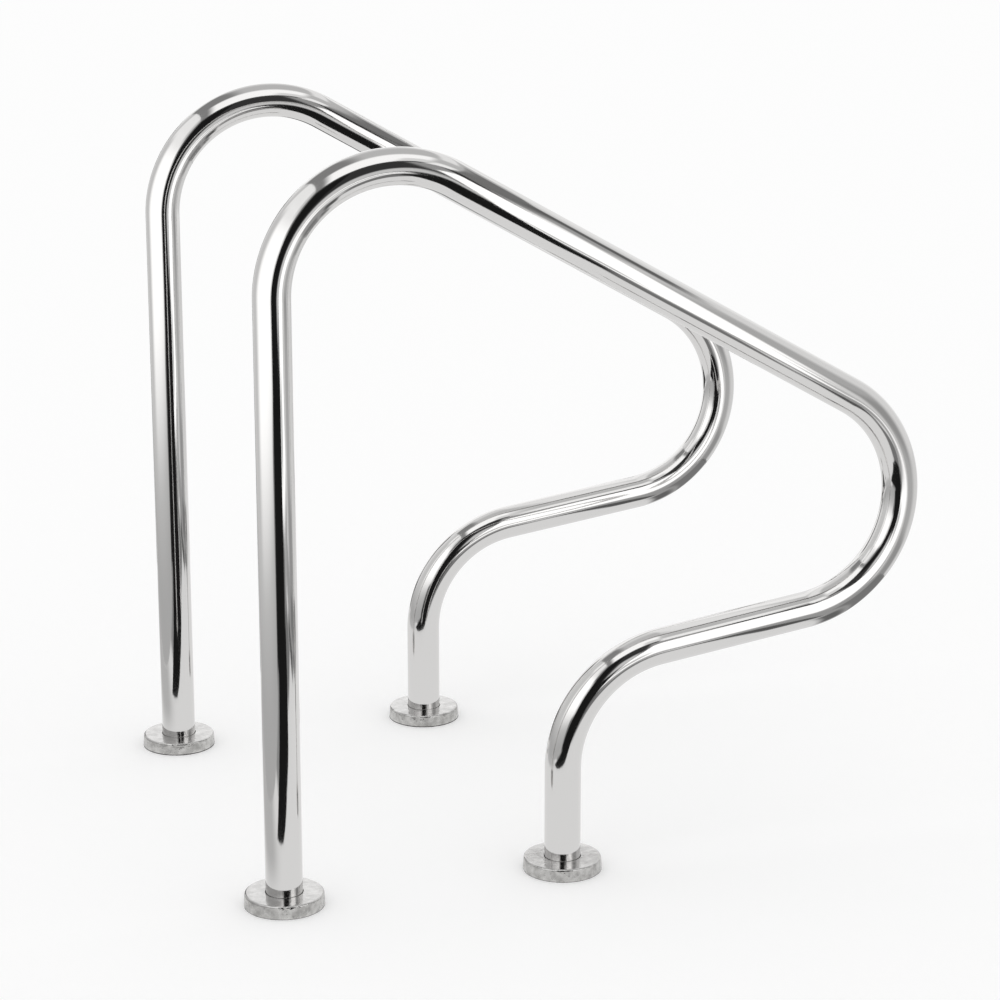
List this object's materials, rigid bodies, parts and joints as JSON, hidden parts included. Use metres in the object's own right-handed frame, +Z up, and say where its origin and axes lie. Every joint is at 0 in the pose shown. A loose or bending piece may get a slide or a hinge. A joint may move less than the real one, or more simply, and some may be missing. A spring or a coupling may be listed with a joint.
{
  "type": "pool handrail",
  "caption": "Pair of bent stainless steel pool handrails: tall leg, sloping grab rail, return run and short leg, on bolted flanged feet with lift-up covers.",
  "frame": {"origin": "on the deck, at the middle of the pair's outline seen from above", "axes": "+Z up from the deck; +X along the rails from the tall legs to the nose over the water; +Y to the left rail"},
  "size_m": [0.8334, 0.654, 0.87],
  "materials": {
    "polished_tube": "mirror-polished stainless steel tube",
    "pressed_cover": "pressed stainless steel sheet, polished",
    "flange_plate": "laser-cut stainless steel plate, faced and lightly brushed",
    "weld_bead": "stainless steel weld, pickled to a dull grey",
    "rubber_gasket": "matt black EPDM sheet",
    "rubber_ring": "matt black moulded rubber"
  },
  "bodies": {
    "rails_and_feet": {"right_rail_tube": "polished_tube", "left_rail_tube": "polished_tube", "right_tall_leg_flange": "flange_plate", "right_tall_leg_weld": "weld_bead", "right_tall_leg_gasket": "rubber_gasket", "right_short_leg_flange": "flange_plate", "right_short_leg_weld": "weld_bead", "right_short_leg_gasket": "rubber_gasket", "left_tall_leg_flange": "flange_plate", "left_tall_leg_weld": "weld_bead", "left_tall_leg_gasket": "rubber_gasket", "left_short_leg_flange": "flange_plate", "left_short_leg_weld": "weld_bead", "left_short_leg_gasket": "rubber_gasket"},
    "right_tall_leg_lift_cover": {"right_tall_leg_cover": "pressed_cover", "right_tall_leg_grip_ring": "rubber_ring"},
    "right_short_leg_lift_cover": {"right_short_leg_cover": "pressed_cover", "right_short_leg_grip_ring": "rubber_ring"},
    "left_tall_leg_lift_cover": {"left_tall_leg_cover": "pressed_cover", "left_tall_leg_grip_ring": "rubber_ring"},
    "left_short_leg_lift_cover": {"left_short_leg_cover": "pressed_cover", "left_short_leg_grip_ring": "rubber_ring"}
  },
  "joints": [
    {"name": "right_tall_leg_cover_lift", "type": "slide", "parent": "rails_and_feet", "child": "right_tall_leg_lift_cover", "axis": [0, 0, 1], "range_m": [0, 0.69]},
    {"name": "right_short_leg_cover_lift", "type": "slide", "parent": "rails_and_feet", "child": "right_short_leg_lift_cover", "axis": [0, 0, 1], "range_m": [0, 0.108]},
    {"name": "left_tall_leg_cover_lift", "type": "slide", "parent": "rails_and_feet", "child": "left_tall_leg_lift_cover", "axis": [0, 0, 1], "range_m": [0, 0.69]},
    {"name": "left_short_leg_cover_lift", "type": "slide", "parent": "rails_and_feet", "child": "left_short_leg_lift_cover", "axis": [0, 0, 1], "range_m": [0, 0.108]}
  ]
}
